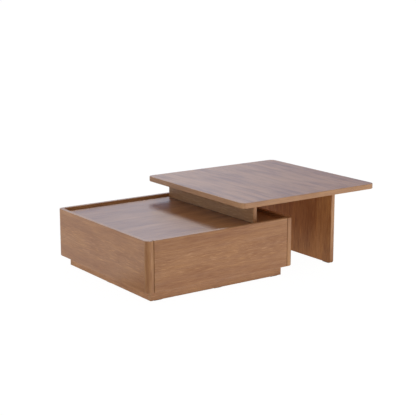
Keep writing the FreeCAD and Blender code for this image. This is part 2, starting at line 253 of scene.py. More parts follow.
GRAIN_WANDER = 0.014                            # how far the grain strays to the side, in metres
RING_WANDER = 0.050                             # and the growth rings
LOG_DEPTH = 0.02                                # how deep under the face the log's middle lies
LOG_SWAY = 0.16                                 # and how much that changes along the board
RING_SCALE = 120.0                              # growth rings in a metre
PORE_LIMITS = 0.10, 0.20                        # noise that rises between these makes a pore
FLECK_LIMITS = 0.06, 0.16                       # or a pale fleck
FLECK_REACH = 0.02, 0.08                        # flecks fade out this far to the side of the heart
CLOUD_PART, BAND_PART, RING_PART = 0.72, 0.46, 0.22         # of the broad figure
STREAK_PART, FIBRE_PART, FLECK_PART = 0.66, 0.30, 0.32      # of the fine figure
THIN_HUE_PART = 0.6
HUE_SWING = 1.3
PORE_COVER = 0.45
FIBRE_RISE = 0.4                                # of the fibres, for pores that sink by 1


def walnut_colour(tree, place, heart, tone, bands, streaks=1.0):
    """The colour of walnut, its relief and its pores, where place has X along the grain.

    heart is where the middle of the flat-cut figure lies across the board. The contrast of the
    broad figure is bands, and that of the fine figure is streaks.
    """
    drift = spots(tree, place, length=0.30, width=0.09)
    axes = axes_of(tree, place)
    flow = vector(tree, axes["X"], axes["Y"] + drift * GRAIN_WANDER, axes["Z"])

    side = axes["Y"] - heart + drift * RING_WANDER
    depth = spots(tree, place, length=0.45, width=0.30) * LOG_SWAY + LOG_DEPTH
    sockets = {"W": from_pith(side, depth), "Scale": RING_SCALE, "Detail": 1.0}
    rings = tree.node("ShaderNodeTexNoise", {"noise_dimensions": "1D"}, sockets) - NOISE_MIDDLE

    cloud = spots(tree, place, length=0.24, width=0.065)
    band = spots(tree, flow, length=0.30, width=0.016)
    streak = spots(tree, flow, length=0.050, width=0.0040)
    fibre = spots(tree, flow, length=0.030, width=0.0007)
    pore = spots(tree, flow, length=0.0045, width=0.00028).rise(*PORE_LIMITS)
    fleck = spots(tree, flow, length=0.042, width=0.0042).rise(*FLECK_LIMITS)
    fleck = fleck * (1.0 - abs(side).rise(*FLECK_REACH))

    broad = cloud * CLOUD_PART + band * BAND_PART + rings * RING_PART
    fine = streak * STREAK_PART + fibre * FIBRE_PART + fleck * FLECK_PART
    lightness = tone + MIDDLE_TONE + broad * bands + fine * streaks
    wood = colour_mix(tree, lightness, WALNUT_DARK, WALNUT_LIGHT)
    hue = spots(tree, flow, length=0.20, width=0.020)
    hue = hue + spots(tree, flow, length=0.06, width=0.007) * THIN_HUE_PART
    tint = colour_mix(tree, HALFWAY + hue * HUE_SWING, WALNUT_GOLD, WALNUT_ROSE)
    wood = colour_mix(tree, pore * PORE_COVER, tinted(tree, wood, tint), WALNUT_PORE)
    return wood, fibre * FIBRE_RISE - pore, pore


SATIN = 0.40                                    # roughness of the lacquer
PORE_DULLNESS = 0.12


def satin_walnut(tree, wood, height, pore, dullness=SATIN):
    """Satin lacquer over walnut that is sanded but not filled."""
    surface(tree, {
        "Base Color": wood,
        "Roughness": dullness + pore * PORE_DULLNESS,
        "IOR": 1.5,
        "Normal": relief(tree, height, depth=0.0002, strength=0.25),
    })


# Edge strips are real banding, and paler and cooler as a painted highlight along the edges.
STRIP_TONE_AND_HIGHLIGHT = 0.20                               # strips on the edges are paler than the faces
STRIP_TINT_AND_HIGHLIGHT = (1.03, 1.07, 1.16, 1.0)
PLAIN = (1.0, 1.0, 1.0, 1.0)


def walnut(name, grain, across, through, shift, heart, tone=0.0, bands=1.0, streaks=1.0,
           banded=True, dullness=SATIN, painted_light=PLAIN):
    """Satin lacquered walnut, from the part of the tree that shift gives.

    heart is a place across the grain, and cast paints light or shade on a banded board's faces.
    """
    material, tree = new_finish(name)
    place, edge = board_place(tree, grain, across, through, shift, banded)
    if banded:
        tone = tone + edge * STRIP_TONE_AND_HIGHLIGHT
    wood, height, pore = walnut_colour(tree, place, heart + shift[1], tone, bands, streaks)
    if banded:
        wood = tinted(tree, wood, colour_mix(tree, edge, painted_light, STRIP_TINT_AND_HIGHLIGHT))
    satin_walnut(tree, wood, height, pore, dullness)
    return material


def dress(material, *names):
    """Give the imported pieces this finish."""
    for name in names:
        slots = nodes[name].data.materials
        slots.clear()
        slots.append(material)


# The plinth's tone and casts are painted light: they lift the rails out of the shade under the
# box, the side rails most, and tint the long and side rails apart for the light on each.
PLINTH_PAINTED_LIGHT_TONE = 0.18
LONG_RAIL_PAINTED_LIGHT = (1.00, 0.96, 0.98, 1.0)
SIDE_RAIL_PAINTED_LIGHT = (1.22, 1.19, 1.18, 1.0)        # painted light against the box's shade
long_rail = walnut("plinth_walnut_front", "X", "Z", "Y", shift=(3.1, 0.7, 0.2), heart=0.0,
                   tone=PLINTH_PAINTED_LIGHT_TONE, painted_light=LONG_RAIL_PAINTED_LIGHT)
side_rail = walnut("plinth_walnut_side", "Y", "Z", "X", shift=(1.4, 0.2, 0.9), heart=0.0,
                   tone=PLINTH_PAINTED_LIGHT_TONE, painted_light=SIDE_RAIL_PAINTED_LIGHT)
dress(long_rail, "plinth_front", "plinth_back")
dress(side_rail, "plinth_left", "plinth_right")


# ------------------------------------------------------------ plinth blocks, packers and battens
# Bare pine strips and blocks that only glue and screws touch: triangles in the corners of the
# plinth, packers behind the drawer runners, and battens in the corners under the top.

PINE_EARLY = (0.640, 0.440, 0.235, 1.0)
PINE_LATE = (0.430, 0.235, 0.095, 1.0)
PINE_RING = 0.0034              # a year's growth, in metres
PINE_WANDER = 0.010
LATE_WOOD = 0.40, 0.92          # where in a year the dark late wood begins and is full
YEAR_END = 0.93, 1.0
PINE_LATE_PART, PINE_FIBRE_PART = 0.75, 0.5
PINE_DULLNESS, LATE_GLOSS = 0.62, 0.10
LATE_RISE = 0.4


def bare_pine(name, grain, across, through, pith):
    """Sawn pine; pith is how far to the side and how deep the middle of the log lies."""
    material, tree = new_finish(name)
    axes = axes_of(tree, object_place(tree))
    place = vector(tree, axes[grain], axes[across], axes[through])
    side = axes[across] + pith + spots(tree, place, length=0.30, width=0.05) * PINE_WANDER
    year = (from_pith(side, axes[through] + pith) / PINE_RING).fraction()
    late = year.rise(*LATE_WOOD) * (1.0 - year.rise(*YEAR_END))
    fibre = spots(tree, place, length=0.020, width=0.0006)
    darkness = late * PINE_LATE_PART + fibre * PINE_FIBRE_PART
    surface(tree, {
        "Base Color": colour_mix(tree, darkness, PINE_EARLY, PINE_LATE),
        "Roughness": PINE_DULLNESS - late * LATE_GLOSS,
        "Normal": relief(tree, fibre + late * LATE_RISE, depth=0.0003, strength=0.5),
    })
    return material


dress(bare_pine("block_pine", "Z", "X", "Y", pith=0.21), "plinth_corner_blocks")
strip_pine = bare_pine("strip_pine", "Y", "X", "Z", pith=0.13)
dress(strip_pine, "runner_packers", "support_batten", "leg_batten")


# ------------------------------------------------------------ glides
# Flat glides of black-brown plastic, pinned under the plinth rails and under the leg. The leg
# slides on them when the table is opened.

GLIDE_BLACK = (0.024, 0.020, 0.018, 1.0)
GLIDE_SCUFFED = (0.075, 0.068, 0.062, 1.0)
SCUFF_LIMITS = 0.06, 0.16       # noise that rises between these makes a scuff
SCUFF_COVER = 0.5
GLIDE_DULLNESS, GRIT_DULLNESS, SCUFF_DULLNESS = 0.48, 0.3, 0.12


def specks(tree, place, size, detail=2.0):
    """Noise about 0, whose spots are about this size every way, in metres."""
    return spots(tree, place, size, size, detail)


def glide_plastic():
    material, tree = new_finish("glide_plastic")
    place = object_place(tree)
    grit = specks(tree, place, 0.0006)
    scuff = spots(tree, place, length=0.030, width=0.0010).rise(*SCUFF_LIMITS)
    surface(tree, {
        "Base Color": colour_mix(tree, scuff * SCUFF_COVER, GLIDE_BLACK, GLIDE_SCUFFED),
        "Roughness": GLIDE_DULLNESS + grit * GRIT_DULLNESS + scuff * SCUFF_DULLNESS,
        "Normal": relief(tree, grit, depth=0.0001, strength=0.4),
    })
    return material


dress(glide_plastic(), "plinth_glides", "leg_glides")


# ------------------------------------------------------------ box ends
# The two end panels of the box, walnut veneered with the grain running level. They are the full
# height of the box and carry the tray and the bottom on loose tenons.

# The end panels' cast warms them: painted light, for the light that falls on the box's ends.
END_PAINTED_LIGHT = (1.07, 1.03, 0.98, 1.0)
end_walnut = walnut("end_walnut", "Y", "Z", "X", shift=(4.69, 4.18, 2.79), heart=0.165,
                    painted_light=END_PAINTED_LIGHT)
dress(end_walnut, "left_end_panel", "right_end_panel")


# ------------------------------------------------------------ corner posts
# Solid walnut posts with a round outer corner, glued to the ends of the end panels. Their grain is
# upright, so their tops show end grain, and they differ a little in tone.

POST_SHIFT = (2.0, 0.308, 0.704)
POST_TONES = {
    "front_left_post": 0.16,
    "front_right_post": 0.05,
    "back_left_post": 0.16,
    "back_right_post": 0.10,
}
for post, tone in POST_TONES.items():
    post_walnut = walnut(post + "_walnut", "Z", "X", "Y", shift=POST_SHIFT, heart=0.5,
                         tone=tone, bands=1.9, banded=False)
    dress(post_walnut, post)


# ------------------------------------------------------------ bottom, divider and rails
# Chipboard with a plain brown face on both sides: the bottom of the box, the divider between the
# two drawers, the rails under the tray and the rail under the bottom. Their cut edges are left raw.

BOARD_FACE = (0.360, 0.262, 0.172, 1.0)
BOARD_FACE_GRAIN = (0.300, 0.212, 0.135, 1.0)
CHIP_PALE = (0.520, 0.385, 0.235, 1.0)
CHIP_DARK = (0.215, 0.130, 0.066, 1.0)
CHIP_SCALE = 420.0              # chips in a metre
FACES = 0.8                     # a surface faces an axis where its normal goes this far along it
CHIP_CONTRAST, PRINT_CONTRAST = 0.8, 0.30
RAW_DULLNESS, FACE_GLOSS = 0.80, 0.32
PRINT_RISE = 0.2


def faced_chipboard(name, through):
    """The two faces, through which this axis goes, are printed, and the edges show the chips."""
    material, tree = new_finish(name)
    place = object_place(tree)
    face = abs(facing_axes(tree)[through]).over(FACES)
    sockets = {"Vector": place, "Scale": CHIP_SCALE, "Randomness": 1.0}
    chip = tree.node("ShaderNodeTexVoronoi", {}, sockets)
    shade = tree.node("ShaderNodeSeparateColor", {}, {0: chip["Color"]})
    patch = specks(tree, place, 0.004)
    raw = colour_mix(tree, shade * CHIP_CONTRAST + patch, CHIP_DARK, CHIP_PALE)
    printed = patch * PRINT_CONTRAST + specks(tree, place, 0.0008) * PRINT_CONTRAST
    faced = colour_mix(tree, HALFWAY + printed, BOARD_FACE_GRAIN, BOARD_FACE)
    height = shade * (1.0 - face) + printed * PRINT_RISE
    surface(tree, {
        "Base Color": colour_mix(tree, face, raw, faced),
        "Roughness": RAW_DULLNESS - face * FACE_GLOSS,
        "Normal": relief(tree, height, depth=0.0004, strength=0.6),
    })
    return material


dress(faced_chipboard("level_board", "Z"), "bottom_panel", "top_front_rail", "top_back_rail")
dress(faced_chipboard("divider_board", "Y"), "centre_divider")
dress(faced_chipboard("cross_board", "X"), "plinth_cross_rail")


# ------------------------------------------------------------ loose tenons
# Planed beech tenons, glued half in each board. They join the tray and the bottom to the ends of
# the box, and the leg and the short panel to the top.

BEECH_DARK = (0.520, 0.330, 0.185, 1.0)
BEECH_PALE = (0.680, 0.470, 0.290, 1.0)
BEECH_RAY = (0.330, 0.180, 0.090, 1.0)
RAY_LIMITS = 0.08, 0.18         # noise that rises between these makes a short dark ray
RAY_COVER = 0.6
BEECH_DULLNESS, RAY_DULLNESS = 0.55, 0.1


def planed_beech():
    material, tree = new_finish("tenon_beech")
    place = object_place(tree)
    ray = spots(tree, place, length=0.0030, width=0.0006).rise(*RAY_LIMITS)
    tone = spots(tree, place, length=0.020, width=0.006)
    wood = colour_mix(tree, HALFWAY + tone, BEECH_DARK, BEECH_PALE)
    surface(tree, {
        "Base Color": colour_mix(tree, ray * RAY_COVER, wood, BEECH_RAY),
        "Roughness": BEECH_DULLNESS + ray * RAY_DULLNESS,
        "Normal": relief(tree, tone - ray, depth=0.0002, strength=0.4),
    })
    return material


dress(planed_beech(), "carcase_tenons", "top_tenons")


# ------------------------------------------------------------ tray
# The sunken walnut veneered board that closes the top of the box, with its grain from end to end.
# Loose tenons hold it between the end panels, a little below their rim.

tray_walnut = walnut("tray_walnut", "X", "Y", "Z", shift=(5.62, 3.1, 0.63), heart=0.05,
                     tone=-0.12, bands=1.6, streaks=0.65, dullness=0.375)
dress(tray_walnut, "tray_panel")


# ------------------------------------------------------------ drawer runners
# Ball runners of rolled, zinc plated steel, three members nested in each other. The outer one is
# screwed to the box and the inner one to the drawer. The middle one travels half as far as that.

ZINC_DULL = (0.480, 0.495, 0.520, 1.0)
ZINC_BRIGHT = (0.700, 0.715, 0.735, 1.0)
BLOOM_CONTRAST, ROLL_CONTRAST = 1.2, 0.4
BLOOM_DULLNESS, ROLL_DULLNESS = 0.18, 0.12


def zinc(name, dull, bright, roughness):
    """Rolled and zinc plated steel; the rolls leave fine lines along Y."""
    material, tree = new_finish(name)
    place = axes_of(tree, object_place(tree))
    along = vector(tree, place["Y"], place["X"], place["Z"])
    roll_line = spots(tree, along, length=0.120, width=0.00035)
    bloom = spots(tree, along, length=0.014, width=0.009)
    brightness = HALFWAY + bloom * BLOOM_CONTRAST + roll_line * ROLL_CONTRAST
    surface(tree, {
        "Base Color": colour_mix(tree, brightness, dull, bright),
        "Metallic": 1.0,
        "Roughness": roughness + bloom * BLOOM_DULLNESS + roll_line * ROLL_DULLNESS,
        "Normal": relief(tree, roll_line, depth=0.00004, strength=0.5),
    })
    return material


runner_zinc = zinc("runner_zinc", ZINC_DULL, ZINC_BRIGHT, roughness=0.34)
ENDS = "front", "back"
HANDS = "left", "right"
MEMBERS = "outer", "middle", "inner"
for end in ENDS:
    for hand in HANDS:
        for member in MEMBERS:
            dress(runner_zinc, end + "_" + hand + "_" + member + "_runner")


# ------------------------------------------------------------ balls and ball cages of the runners
# Hardened steel balls roll between the flanges of the members. A pressed strip with bars between
# the balls keeps them apart. Each cage is drawn on the middle member and travels with it.

def pattern(name, inputs):
    """A Geometry Nodes tree with these named inputs, and the node that gives their values."""
    group = bpy.data.node_groups.new(name, "GeometryNodeTree")
    for label, kind in inputs.items():
        group.interface.new_socket(label, in_out="INPUT", socket_type="NodeSocket" + kind)
    group.interface.new_socket("Geometry", in_out="OUTPUT", socket_type="NodeSocketGeometry")
    tree = Tree(group)
    return tree, tree.node("NodeGroupInput")


def joined(tree, pieces):
    return tree.node("GeometryNodeJoinGeometry", {}, {"Geometry": pieces})


def end_pattern(tree, geometry, material):
    """Make the geometry real and give it its finish."""
    real = tree.node("GeometryNodeRealizeInstances", {}, {"Geometry": geometry})
    sockets = {"Geometry": real, "Material": material}
    done = tree.node("GeometryNodeSetMaterial", {}, sockets)
    tree.node("NodeGroupOutput", {}, {"Geometry": done})


NO_TURN = (0.0, 0.0, 0.0)
TURN_X = (math.pi, 0.0, 0.0)
TURN_Y = (0.0, math.pi, 0.0)
TURN_Z = (0.0, 0.0, math.pi)


def moved(tree, geometry, translation):
    sockets = {"Geometry": geometry, "Translation": translation}
    return tree.node("GeometryNodeTransform", {}, sockets)


def half_turn(tree, geometry, centre, turn):
    """A copy of the geometry turned about a point."""
    home = moved(tree, geometry, vector_maths(tree, "MULTIPLY", centre, (-1.0, -1.0, -1.0)))
    turned = tree.node("GeometryNodeTransform", {}, {"Geometry": home, "Rotation": turn})
    return moved(tree, turned, centre)


def row_of(tree, piece, count, first, step, turn=NO_TURN):
    """Copies of a piece at even steps along a line."""
    places = {"Count": count, "Start Location": first, "Offset": step}
    places = tree.node("GeometryNodeMeshLine", {}, places)
    sockets = {"Points": places, "Instance": piece, "Rotation": turn}
    return tree.node("GeometryNodeInstanceOnPoints", {}, sockets)


def made_by(tree, name, sizes, body):
    """The plain mesh that a pattern makes with these sizes, riding on a body."""
    piece = bpy.data.objects.new(name, bpy.data.meshes.new(name))
    scene.collection.objects.link(piece)
    modifier = piece.modifiers.new("pattern", "NODES")
    modifier.node_group = tree.tree
    for socket in tree.tree.interface.items_tree:
        if socket.in_out == "INPUT":
            modifier[socket.identifier] = sizes[socket.name]
    depsgraph = bpy.context.evaluated_depsgraph_get()
    evaluated = piece.evaluated_get(depsgraph)
    mesh = bpy.data.meshes.new_from_object(evaluated, depsgraph=depsgraph)
    piece.modifiers.clear()
    piece.data = mesh
    mesh.name = name
    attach(piece, body)
    return piece


BALL_DULL = (0.640, 0.650, 0.670, 1.0)
BALL_BRIGHT = (0.800, 0.805, 0.815, 1.0)
ball_steel = zinc("ball_steel", BALL_DULL, BALL_BRIGHT, roughness=0.12)

cages, given = pattern("ball_cages", {
    "First ball": "Vector",
    "Middle of the drawer": "Vector",
    "Pitch": "Float",
    "Balls": "Int",
    "Ball radius": "Float",
    "Height between rows": "Float",
    "Bar": "Vector",
    "Strip": "Vector",
    "Strip place": "Vector",
})
pitch = vector(cages, 0.0, given["Pitch"], 0.0)
ball = {"Segments": 12, "Rings": 8, "Radius": given["Ball radius"]}
ball = cages.node("GeometryNodeMeshUVSphere", {}, ball)
ball = cages.node("GeometryNodeSetShadeSmooth", {}, {"Geometry": ball})
bar = cages.node("GeometryNodeMeshCube", {}, {"Size": given["Bar"]})
half_back = vector(cages, 0.0, given["Pitch"] * -0.5, 0.0)
first_bar = vector_maths(cages, "ADD", given["First ball"], half_back)
upper = joined(cages, [
    row_of(cages, ball, given["Balls"], given["First ball"], pitch),
    row_of(cages, bar, given["Balls"] + 1.0, first_bar, pitch),
])
lower = moved(cages, upper, vector(cages, 0.0, 0.0, given["Height between rows"] * -1.0))
strip = cages.node("GeometryNodeMeshCube", {}, {"Size": given["Strip"]})
left_cage = joined(cages, [upper, lower, moved(cages, strip, given["Strip place"])])
right_cage = half_turn(cages, left_cage, given["Middle of the drawer"], TURN_Y)
end_pattern(cages, joined(cages, [left_cage, right_cage]), ball_steel)

GAUGE = 0.0012              # of the steel of the members
BALLS = 8
BALL_PITCH = 0.0195
BALL_SLACK = 0.00003
CAGE_SHEET = 0.0005
CAGE_SLACK = 0.0006
RACE_END = 0.006            # from the end of the middle member to its nearest bar
RACE_LENGTH = (BALLS + 1) * BALL_PITCH

for end in ENDS:
    outer_low, outer_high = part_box(end + "_left_outer_runner")
    middle_low, middle_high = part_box(end + "_left_middle_runner")
    inner_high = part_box(end + "_left_inner_runner")[1]
    right_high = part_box(end + "_right_outer_runner")[1]
    runner_z = (outer_low[2] + outer_high[2]) / 2
    middle = ((outer_low[0] + right_high[0]) / 2, 0.0, runner_z)
    toward_face = middle_low[1] + RACE_END + BALL_PITCH
    toward_back = middle_high[1] - RACE_END - RACE_LENGTH + BALL_PITCH
    if end == "back":
        toward_face, toward_back = toward_back, toward_face

    # each race: its first ball along Y, the flanges above and below it, and the walls beside it
    races = {
        "outer": (toward_back, outer_high[2] - GAUGE, middle_high[2],
                  outer_low[0] + GAUGE, outer_high[0] - GAUGE),
        "inner": (toward_face, middle_high[2] - GAUGE, inner_high[2],
                  middle_low[0] + GAUGE, inner_high[0] - GAUGE),
    }
    for race, (first_y, upper_flange, lower_flange, web, open_side) in races.items():
        gap = upper_flange - lower_flange
        ball_x = (web + open_side) / 2
        ball_z = (upper_flange + lower_flange) / 2
        strip_x = web + CAGE_SLACK + CAGE_SHEET / 2
        between_rows = 2 * (ball_z - runner_z)
        made_by(cages, end + "_" + race + "_ball_cages", {
            "First ball": (ball_x, first_y, ball_z),
            "Middle of the drawer": middle,
            "Pitch": BALL_PITCH,
            "Balls": BALLS,
            "Ball radius": gap / 2 - BALL_SLACK,
            "Height between rows": between_rows,
            "Bar": ((ball_x - strip_x) * 2, BALL_PITCH - gap - CAGE_SLACK, CAGE_SHEET),
            "Strip": (CAGE_SHEET, RACE_LENGTH, between_rows),
            "Strip place": (strip_x, first_y - BALL_PITCH + RACE_LENGTH / 2, runner_z),
        }, end + "_runner_middle")


# ------------------------------------------------------------ runner screws
# Flat-headed zinc screws hold the members: three through each outer member into its packer, with
# very thin heads, and three through each inner member into the drawer side.

SCREW_DULL = (0.560, 0.560, 0.555, 1.0)
SCREW_BRIGHT = (0.780, 0.780, 0.770, 1.0)
screw_zinc = zinc("screw_zinc", SCREW_DULL, SCREW_BRIGHT, roughness=0.26)

RECESS_SPAN = 1.15          # the length of the cross recess, in head radii
RECESS_DEPTH = 1.3          # twice its depth, in head heights
SCREW_INPUTS = {
    "Head radius": "Float",
    "Neck radius": "Float",
    "Head height": "Float",
    "Shank radius": "Float",
    "Shank length": "Float",
    "Recess width": "Float",
    "First screw": "Vector",
    "Step": "Vector",
    "Screws": "Int",
    "Turn": "Vector",
    "Middle": "Vector",
}


def screw(tree, given):
    """One screw: its head is flush with z = 0 and it points along +Z."""
    head = tree.node("GeometryNodeMeshCone", {}, {
        "Vertices": 24,
        "Radius Bottom": given["Head radius"],
        "Radius Top": given["Neck radius"],
        "Depth": given["Head height"],
    })
    wing = given["Head radius"] * RECESS_SPAN
    recess_depth = given["Head height"] * RECESS_DEPTH
    wings = []
    for size in (vector(tree, wing, given["Recess width"], recess_depth),
                 vector(tree, given["Recess width"], wing, recess_depth)):
        wings.append(tree.node("GeometryNodeMeshCube", {}, {"Size": size}))
    settings = {"operation": "DIFFERENCE", "solver": "EXACT"}
    head = tree.node("GeometryNodeMeshBoolean", settings, {"Mesh 1": head, "Mesh 2": wings})
    shank = {"Vertices": 12, "Radius": given["Shank radius"], "Depth": given["Shank length"]}
    shank = tree.node("GeometryNodeMeshCylinder", {}, shank)
    shank_middle = given["Head height"] + given["Shank length"] * 0.5
    return joined(tree, [head, moved(tree, shank, vector(tree, 0.0, 0.0, shank_middle))])


def screw_pattern(name, *turns):
    """A row of screws; each turn adds a copy of all so far, turned about the middle."""
    tree, given = pattern(name, SCREW_INPUTS)
    screws = row_of(tree, screw(tree, given), given["Screws"], given["First screw"],
                    given["Step"], given["Turn"])
    for turn in turns:
        screws = joined(tree, [screws, half_turn(tree, screws, given["Middle"], turn)])
    end_pattern(tree, screws, screw_zinc)
    return tree


SCREW_END = 0.023           # from the ends of a member to its outer screws
QUARTER_TURN = math.pi / 2
FLAT_HEAD = 0.0005
PAN_HEAD = 0.0012
RUNNER_SCREWS = 3

low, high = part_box("front_left_outer_runner")
right_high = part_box("front_right_outer_runner")[1]
runner_middle = ((low[0] + right_high[0]) / 2, 0.0, (low[2] + high[2]) / 2)


def runner_screw_sizes(low, high, x, turn, head_height):
    """The sizes of a row of small screws along the runner member that spans low to high."""
    step = (high[1] - low[1] - 2 * SCREW_END) / (RUNNER_SCREWS - 1)
    return {
        "Head radius": 0.0031,
        "Neck radius": 0.0029,
        "Head height": head_height,
        "Shank radius": 0.0013,
        "Shank length": 0.009,
        "Recess width": 0.0008,
        "First screw": (x, low[1] + SCREW_END, (low[2] + high[2]) / 2),
        "Step": (0.0, step, 0.0),
        "Screws": RUNNER_SCREWS,
        "Turn": (0.0, turn, 0.0),
        "Middle": runner_middle,
    }


box_screws = screw_pattern("outer_runner_screws", TURN_X, TURN_Z)
sizes = runner_screw_sizes(low, high, low[0] + GAUGE + FLAT_HEAD, -QUARTER_TURN, FLAT_HEAD)
made_by(box_screws, "outer_runner_screws", sizes, "box")
drawer_screws = screw_pattern("inner_runner_screws", TURN_Y)
for end in ENDS:
    low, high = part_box(end + "_left_inner_runner")
    sizes = runner_screw_sizes(low, high, high[0] - GAUGE - PAN_HEAD, QUARTER_TURN, PAN_HEAD)
    piece = end + "_inner_runner_screws"
    made_by(drawer_screws, piece, sizes, end + "_drawer")


# ------------------------------------------------------------ drawer boxes
# Four boards of lacquered birch plywood, finger jointed at the corners, so that the ends of the
# fingers show the plies. A groove in the sides and in the inner front holds the floor.

PLIES = 9
BIRCH_PALE = (0.780, 0.600, 0.395, 1.0)
BIRCH_WARM = (0.660, 0.455, 0.265, 1.0)
BIRCH_END = (0.430, 0.285, 0.160, 1.0)
GLUE_LINE = (0.240, 0.140, 0.075, 1.0)
GLUE_LIMITS = 0.40, 0.47        # how far from the middle of a ply its glue line begins and is full
GLUE_COVER = 0.55
BIRCH_TONE = 0.45
BIRCH_CLOUD_PART, BIRCH_FIBRE_PART, RIPPLE_PART = 0.8, 0.7, 0.35
END_CONTRAST = 1.2
BIRCH_DULLNESS, EDGE_DULLNESS = 0.42, 0.14


def birch_plywood(name, board, grain, through):
    """The outer plies run along the grain axis, and every other ply runs across it."""
    material, tree = new_finish(name)
    everywhere = object_place(tree)
    place = axes_of(tree, everywhere)
    facing = facing_axes(tree)
    low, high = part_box(board)
    axis = "XYZ".index(through)
    across = ({"X", "Y", "Z"} - {grain, through}).pop()
    ply = (place[through] - low[axis]) * (PLIES / (high[axis] - low[axis]))
    glue = abs(ply.fraction() - HALFWAY).rise(*GLUE_LIMITS)
    crossed = ply.maths("FLOORED_MODULO", ply.maths("FLOOR", ply), 2.0).over(HALFWAY)
    edge = 1.0 - abs(facing[through]).over(FACES)
    cut_end = abs(facing[grain]).over(FACES)
    shows_end = abs(crossed - cut_end)

    along = vector(tree, place[grain], place[across], place[through])
    fibre = spots(tree, along, length=0.025, width=0.0006)
    cloud = spots(tree, along, length=0.120, width=0.018)
    ripple = spots(tree, along, length=0.006, width=0.020)
    warmth = BIRCH_TONE + cloud * BIRCH_CLOUD_PART + fibre * BIRCH_FIBRE_PART + ripple * RIPPLE_PART
    long_grain = colour_mix(tree, warmth, BIRCH_PALE, BIRCH_WARM)
    speck = specks(tree, everywhere, 0.0005)
    end_grain = colour_mix(tree, HALFWAY + speck * END_CONTRAST, BIRCH_END, BIRCH_WARM)
    wood = colour_mix(tree, edge * shows_end, long_grain, end_grain)
    wood = colour_mix(tree, edge * glue * GLUE_COVER, wood, GLUE_LINE)
    height = fibre * (1.0 - edge) + (speck - glue) * edge
    surface(tree, {
        "Base Color": wood,
        "Roughness": BIRCH_DULLNESS + edge * EDGE_DULLNESS,
        "Normal": relief(tree, height, depth=0.0001, strength=0.5),
    })
    return material


for end in ENDS:
    drawer = end + "_drawer"
    for board in (drawer + "_left_side", drawer + "_right_side"):
        dress(birch_plywood(board + "_birch", board, "Y", "X"), board)
    for board in (drawer + "_inner_front", drawer + "_back"):
        dress(birch_plywood(board + "_birch", board, "X", "Y"), board)


# ------------------------------------------------------------ drawer floors
# Six millimetre hardboard, faced above with a pale foil and bare and brown below. It slides into
# the groove from behind, under the back board.

FOIL_SHADE = (0.560, 0.445, 0.315, 1.0)
FOIL_PALE = (0.700, 0.585, 0.440, 1.0)
HARDBOARD_DARK = (0.150, 0.082, 0.042, 1.0)
HARDBOARD_BROWN = (0.290, 0.175, 0.098, 1.0)
FOIL_CONTRAST = 0.8
HARDBOARD_DULLNESS, FOIL_GLOSS = 0.72, 0.27
FOIL_SMOOTHNESS = 0.8


def faced_hardboard():
    material, tree = new_finish("drawer_hardboard")
    place = object_place(tree)
    foil_side = facing_axes(tree)["Z"].over(FACES)
    linen = spots(tree, place, length=0.0060, width=0.0007)
    linen = linen + spots(tree, place, length=0.10, width=0.012)
    foil = colour_mix(tree, HALFWAY + linen * FOIL_CONTRAST, FOIL_SHADE, FOIL_PALE)
    felted = specks(tree, place, 0.0012)
    bare = colour_mix(tree, HALFWAY + felted, HARDBOARD_DARK, HARDBOARD_BROWN)
    height = felted * (1.0 - foil_side * FOIL_SMOOTHNESS)
    surface(tree, {
        "Base Color": colour_mix(tree, foil_side, bare, foil),
        "Roughness": HARDBOARD_DULLNESS - foil_side * FOIL_GLOSS,
        "Normal": relief(tree, height, depth=0.0002, strength=0.5),
    })
    return material


dress(faced_hardboard(), "front_drawer_bottom", "back_drawer_bottom")


# ------------------------------------------------------------ drawer fronts
# The wide walnut veneered front of each drawer, with its edges eased. There is no handle: fingers
# reach under its bevelled lower edge, in front of the plinth.

front_walnut = walnut("front_walnut", "X", "Z", "Y", shift=(6.51, 4.38, 2.0), heart=0.165)
dress(front_walnut, "front_drawer_front", "back_drawer_front")


# ------------------------------------------------------------ screws of the drawer fronts
# Four countersunk zinc screws with cross recesses come through the inner front of each drawer,
# flush with it, and hold the wide front.

front_screws = screw_pattern("front_screws", TURN_Y)

HEAD_RADIUS = 0.004
HEAD_HEIGHT = 0.0022
for end in ENDS:
    low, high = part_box(end + "_drawer_screws")
    heads, points = (high[1], low[1]) if end == "front" else (low[1], high[1])
    span = high[2] - low[2] - 2 * HEAD_RADIUS
    screws = made_by(front_screws, end + "_front_screws", {
        "Head radius": HEAD_RADIUS,
        "Neck radius": HEAD_RADIUS / 2,
        "Head height": HEAD_HEIGHT,
        "Shank radius": HEAD_RADIUS / 2,
        "Shank length": abs(heads - points) - HEAD_HEIGHT,
        "Recess width": 0.0010,
        "First screw": (low[0] + HEAD_RADIUS, heads, low[2] + HEAD_RADIUS),
        "Step": (0.0, 0.0, span),
        "Screws": 2,
        "Turn": (math.copysign(QUARTER_TURN, heads - points), 0.0, 0.0),
        "Middle": ((low[0] + high[0]) / 2, heads, (low[2] + high[2]) / 2),
    }, end + "_drawer")
    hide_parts(end + "_drawer_screws")


# ------------------------------------------------------------ sliding top
# One square board, walnut veneered with the grain from front to back, inside a lipping of solid
# walnut that is mitred at the corners and eased above and below.

top_walnut = walnut("top_walnut", "Y", "X", "Z", shift=(0.68, 7.38, 6.53), heart=0.25,
                    tone=0.20, bands=2.5, dullness=0.35)
dress(top_walnut, "top_panel")

# Both tints are a painted cool sheen on the lipping, stronger on the end strips.
LONG_PAINTED_SHEEN = (1.03, 1.10, 1.30, 1.0)            # the tint of the strips that run along X
END_PAINTED_SHEEN = (1.07, 1.20, 1.50, 1.0)             # and along Y
LONG_STRIP_SHIFT = 5.0
END_STRIP_SHIFT = 2.0


